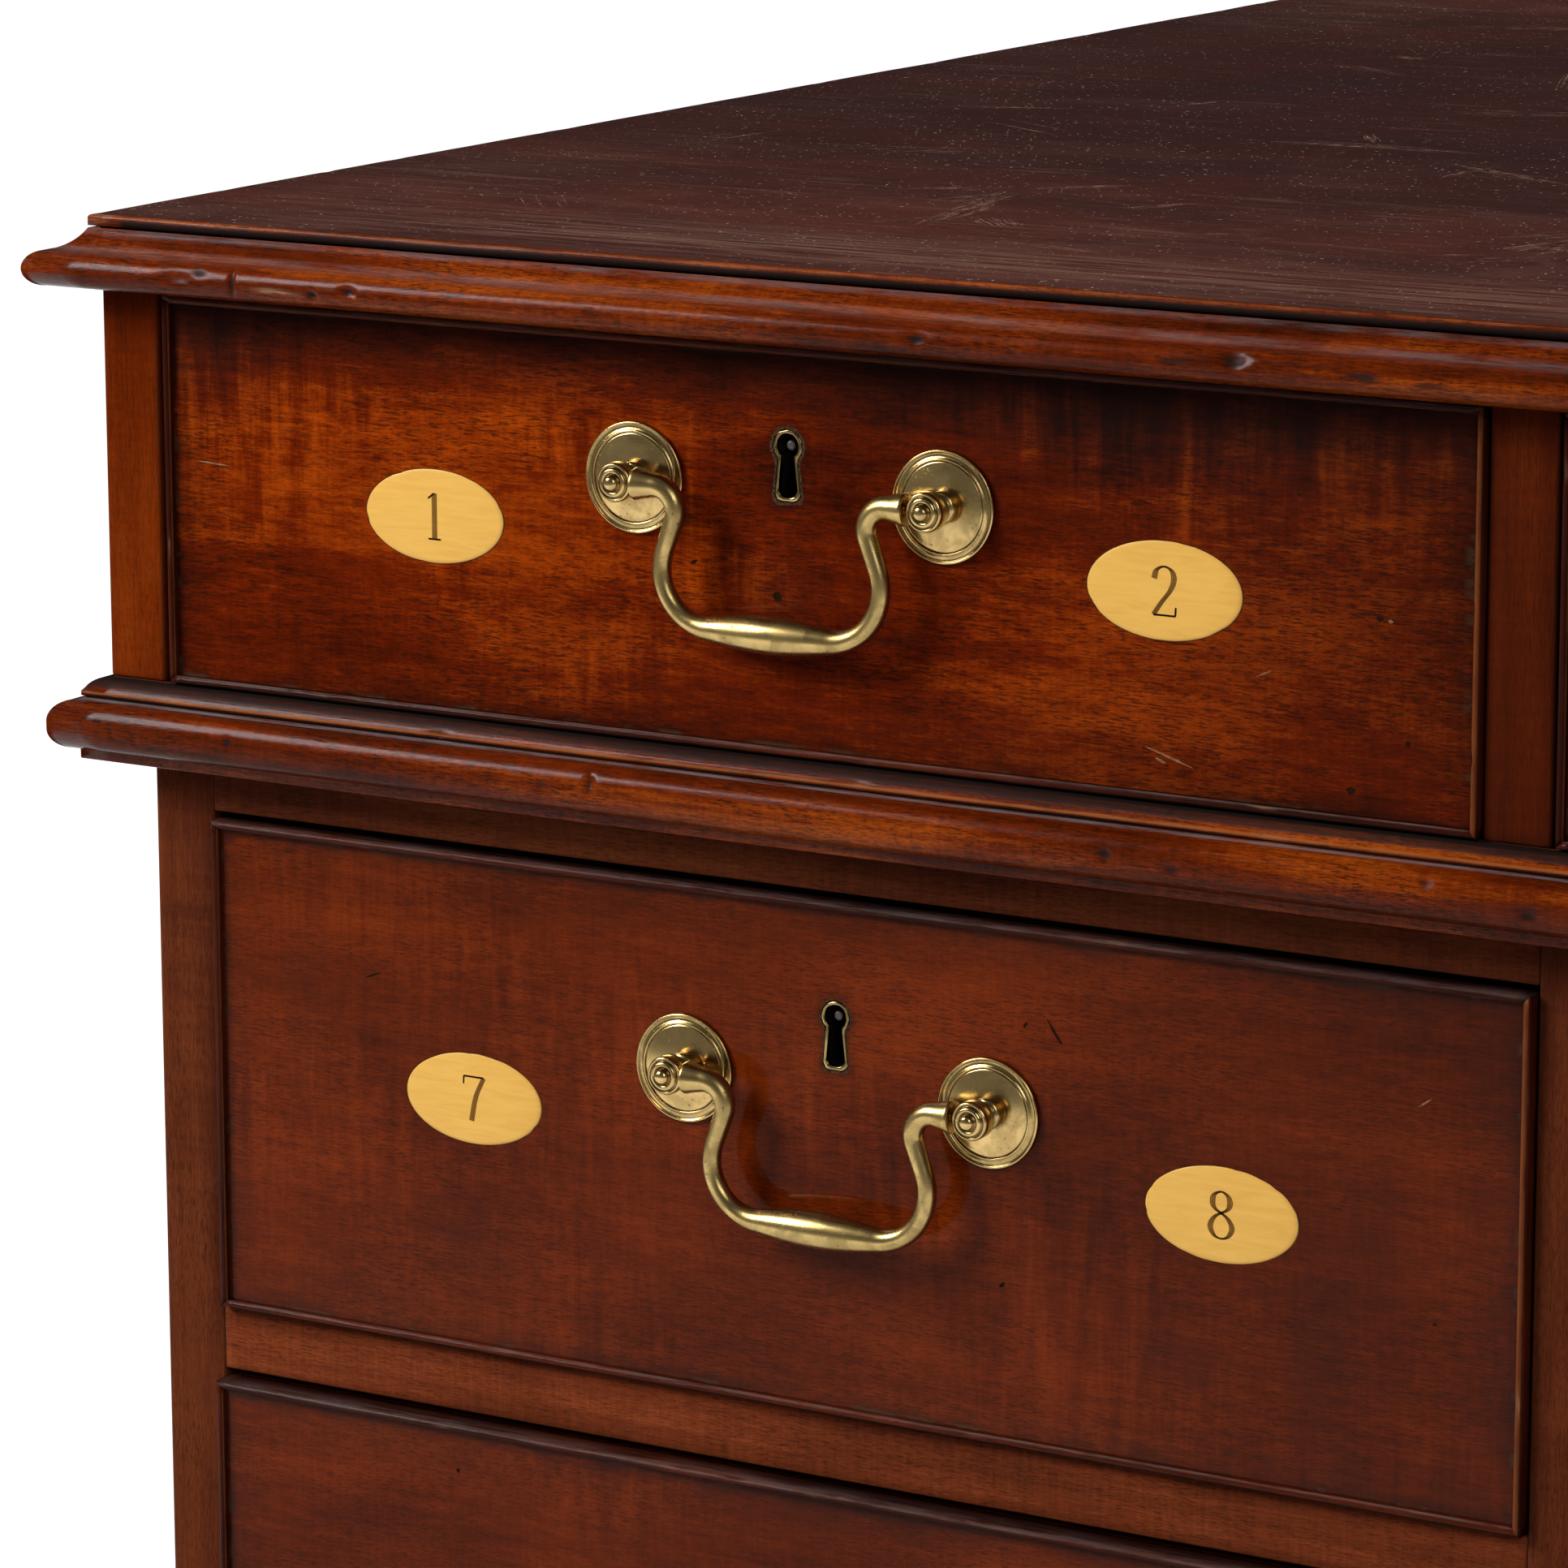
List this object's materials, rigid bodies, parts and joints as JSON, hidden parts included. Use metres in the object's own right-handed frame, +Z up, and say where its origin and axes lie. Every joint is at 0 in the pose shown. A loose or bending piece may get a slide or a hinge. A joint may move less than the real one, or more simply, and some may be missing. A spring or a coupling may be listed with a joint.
{
  "type": "partners desk",
  "caption": "Mahogany pedestal desk for two sitters: frieze drawers on both long sides, pedestals with drawers in front and cupboards behind, swan-neck brass bails, moulded top edge.",
  "frame": {"origin": "on the floor under the middle of the desk", "axes": "+X along the desk to the right as seen from the front, -Y out of the front with the pedestal drawers, +Z up"},
  "size_m": [1.581, 0.974, 0.785],
  "materials": {
    "show_wood": "old polished mahogany",
    "top_wood": "worn dull mahogany",
    "lining_wood": "bare oak",
    "brass": "aged and tarnished"
  },
  "bodies": {
    "carcase": {"top_board": "top_wood", "top_edge_moulding": "show_wood", "frieze_carcase": "show_wood", "waist_moulding": "show_wood", "left_pedestal_carcase": "show_wood", "right_pedestal_carcase": "show_wood", "plinths": "show_wood", "door_hinge_leaves": "brass"},
    "front_left_frieze_drawer": {"front_left_frieze_drawer_front": "show_wood", "front_left_frieze_drawer_box": "lining_wood", "front_left_frieze_drawer_fittings": "brass"},
    "front_left_frieze_drawer_bail": {"front_left_frieze_drawer_bail": "brass"},
    "front_centre_frieze_drawer": {"front_centre_frieze_drawer_front": "show_wood", "front_centre_frieze_drawer_box": "lining_wood", "front_centre_frieze_drawer_fittings": "brass"},
    "front_centre_frieze_drawer_bail": {"front_centre_frieze_drawer_bail": "brass"},
    "front_right_frieze_drawer": {"front_right_frieze_drawer_front": "show_wood", "front_right_frieze_drawer_box": "lining_wood", "front_right_frieze_drawer_fittings": "brass"},
    "front_right_frieze_drawer_bail": {"front_right_frieze_drawer_bail": "brass"},
    "back_left_frieze_drawer": {"back_left_frieze_drawer_front": "show_wood", "back_left_frieze_drawer_box": "lining_wood", "back_left_frieze_drawer_fittings": "brass"},
    "back_left_frieze_drawer_bail": {"back_left_frieze_drawer_bail": "brass"},
    "back_centre_frieze_drawer": {"back_centre_frieze_drawer_front": "show_wood", "back_centre_frieze_drawer_box": "lining_wood", "back_centre_frieze_drawer_fittings": "brass"},
    "back_centre_frieze_drawer_bail": {"back_centre_frieze_drawer_bail": "brass"},
    "back_right_frieze_drawer": {"back_right_frieze_drawer_front": "show_wood", "back_right_frieze_drawer_box": "lining_wood", "back_right_frieze_drawer_fittings": "brass"},
    "back_right_frieze_drawer_bail": {"back_right_frieze_drawer_bail": "brass"},
    "left_upper_drawer": {"left_upper_drawer_front": "show_wood", "left_upper_drawer_box": "lining_wood", "left_upper_drawer_fittings": "brass"},
    "left_upper_drawer_bail": {"left_upper_drawer_bail": "brass"},
    "left_middle_drawer": {"left_middle_drawer_front": "show_wood", "left_middle_drawer_box": "lining_wood", "left_middle_drawer_fittings": "brass"},
    "left_middle_drawer_bail": {"left_middle_drawer_bail": "brass"},
    "left_lower_drawer": {"left_lower_drawer_front": "show_wood", "left_lower_drawer_box": "lining_wood", "left_lower_drawer_fittings": "brass"},
    "left_lower_drawer_bail": {"left_lower_drawer_bail": "brass"},
    "right_upper_drawer": {"right_upper_drawer_front": "show_wood", "right_upper_drawer_box": "lining_wood", "right_upper_drawer_fittings": "brass"},
    "right_upper_drawer_bail": {"right_upper_drawer_bail": "brass"},
    "right_middle_drawer": {"right_middle_drawer_front": "show_wood", "right_middle_drawer_box": "lining_wood", "right_middle_drawer_fittings": "brass"},
    "right_middle_drawer_bail": {"right_middle_drawer_bail": "brass"},
    "right_lower_drawer": {"right_lower_drawer_front": "show_wood", "right_lower_drawer_box": "lining_wood", "right_lower_drawer_fittings": "brass"},
    "right_lower_drawer_bail": {"right_lower_drawer_bail": "brass"},
    "left_door": {"left_door": "show_wood", "left_door_fittings": "brass"},
    "right_door": {"right_door": "show_wood", "right_door_fittings": "brass"}
  },
  "joints": [
    {"name": "front_left_frieze_drawer_slide", "type": "slide", "parent": "carcase", "child": "front_left_frieze_drawer", "axis": [0, -1, 0], "range_m": [0, 0.33]},
    {"name": "front_left_frieze_drawer_bail_swing", "type": "hinge", "parent": "front_left_frieze_drawer", "child": "front_left_frieze_drawer_bail", "pos_m": [-0.53555, -0.4796, 0.7213], "axis": [-1, 0, 0], "range_deg": [0, 100]},
    {"name": "front_centre_frieze_drawer_slide", "type": "slide", "parent": "carcase", "child": "front_centre_frieze_drawer", "axis": [0, -1, 0], "range_m": [0, 0.33]},
    {"name": "front_centre_frieze_drawer_bail_swing", "type": "hinge", "parent": "front_centre_frieze_drawer", "child": "front_centre_frieze_drawer_bail", "pos_m": [0, -0.4796, 0.7213], "axis": [-1, 0, 0], "range_deg": [0, 100]},
    {"name": "front_right_frieze_drawer_slide", "type": "slide", "parent": "carcase", "child": "front_right_frieze_drawer", "axis": [0, -1, 0], "range_m": [0, 0.33]},
    {"name": "front_right_frieze_drawer_bail_swing", "type": "hinge", "parent": "front_right_frieze_drawer", "child": "front_right_frieze_drawer_bail", "pos_m": [0.53555, -0.4796, 0.7213], "axis": [-1, 0, 0], "range_deg": [0, 100]},
    {"name": "back_left_frieze_drawer_slide", "type": "slide", "parent": "carcase", "child": "back_left_frieze_drawer", "axis": [0, 1, 0], "range_m": [0, 0.33]},
    {"name": "back_left_frieze_drawer_bail_swing", "type": "hinge", "parent": "back_left_frieze_drawer", "child": "back_left_frieze_drawer_bail", "pos_m": [-0.53555, 0.4796, 0.7213], "axis": [1, 0, 0], "range_deg": [0, 100]},
    {"name": "back_centre_frieze_drawer_slide", "type": "slide", "parent": "carcase", "child": "back_centre_frieze_drawer", "axis": [0, 1, 0], "range_m": [0, 0.33]},
    {"name": "back_centre_frieze_drawer_bail_swing", "type": "hinge", "parent": "back_centre_frieze_drawer", "child": "back_centre_frieze_drawer_bail", "pos_m": [0, 0.4796, 0.7213], "axis": [1, 0, 0], "range_deg": [0, 100]},
    {"name": "back_right_frieze_drawer_slide", "type": "slide", "parent": "carcase", "child": "back_right_frieze_drawer", "axis": [0, 1, 0], "range_m": [0, 0.33]},
    {"name": "back_right_frieze_drawer_bail_swing", "type": "hinge", "parent": "back_right_frieze_drawer", "child": "back_right_frieze_drawer_bail", "pos_m": [0.53555, 0.4796, 0.7213], "axis": [1, 0, 0], "range_deg": [0, 100]},
    {"name": "left_upper_drawer_slide", "type": "slide", "parent": "carcase", "child": "left_upper_drawer", "axis": [0, -1, 0], "range_m": [0, 0.33]},
    {"name": "left_upper_drawer_bail_swing", "type": "hinge", "parent": "left_upper_drawer", "child": "left_upper_drawer_bail", "pos_m": [-0.52475, -0.472, 0.5476], "axis": [-1, 0, 0], "range_deg": [0, 100]},
    {"name": "left_middle_drawer_slide", "type": "slide", "parent": "carcase", "child": "left_middle_drawer", "axis": [0, -1, 0], "range_m": [0, 0.33]},
    {"name": "left_middle_drawer_bail_swing", "type": "hinge", "parent": "left_middle_drawer", "child": "left_middle_drawer_bail", "pos_m": [-0.52475, -0.4754, 0.3686], "axis": [-1, 0, 0], "range_deg": [0, 100]},
    {"name": "left_lower_drawer_slide", "type": "slide", "parent": "carcase", "child": "left_lower_drawer", "axis": [0, -1, 0], "range_m": [0, 0.33]},
    {"name": "left_lower_drawer_bail_swing", "type": "hinge", "parent": "left_lower_drawer", "child": "left_lower_drawer_bail", "pos_m": [-0.52475, -0.472, 0.1811], "axis": [-1, 0, 0], "range_deg": [0, 100]},
    {"name": "right_upper_drawer_slide", "type": "slide", "parent": "carcase", "child": "right_upper_drawer", "axis": [0, -1, 0], "range_m": [0, 0.33]},
    {"name": "right_upper_drawer_bail_swing", "type": "hinge", "parent": "right_upper_drawer", "child": "right_upper_drawer_bail", "pos_m": [0.52475, -0.472, 0.5476], "axis": [-1, 0, 0], "range_deg": [0, 100]},
    {"name": "right_middle_drawer_slide", "type": "slide", "parent": "carcase", "child": "right_middle_drawer", "axis": [0, -1, 0], "range_m": [0, 0.33]},
    {"name": "right_middle_drawer_bail_swing", "type": "hinge", "parent": "right_middle_drawer", "child": "right_middle_drawer_bail", "pos_m": [0.52475, -0.4754, 0.3686], "axis": [-1, 0, 0], "range_deg": [0, 100]},
    {"name": "right_lower_drawer_slide", "type": "slide", "parent": "carcase", "child": "right_lower_drawer", "axis": [0, -1, 0], "range_m": [0, 0.33]},
    {"name": "right_lower_drawer_bail_swing", "type": "hinge", "parent": "right_lower_drawer", "child": "right_lower_drawer_bail", "pos_m": [0.52475, -0.472, 0.1811], "axis": [-1, 0, 0], "range_deg": [0, 100]},
    {"name": "left_door_hinge", "type": "hinge", "parent": "carcase", "child": "left_door", "pos_m": [-0.7418, 0.466, 0.34], "axis": [0, 0, 1], "range_deg": [0, 110]},
    {"name": "right_door_hinge", "type": "hinge", "parent": "carcase", "child": "right_door", "pos_m": [0.7418, 0.466, 0.34], "axis": [0, 0, -1], "range_deg": [0, 110]}
  ]
}
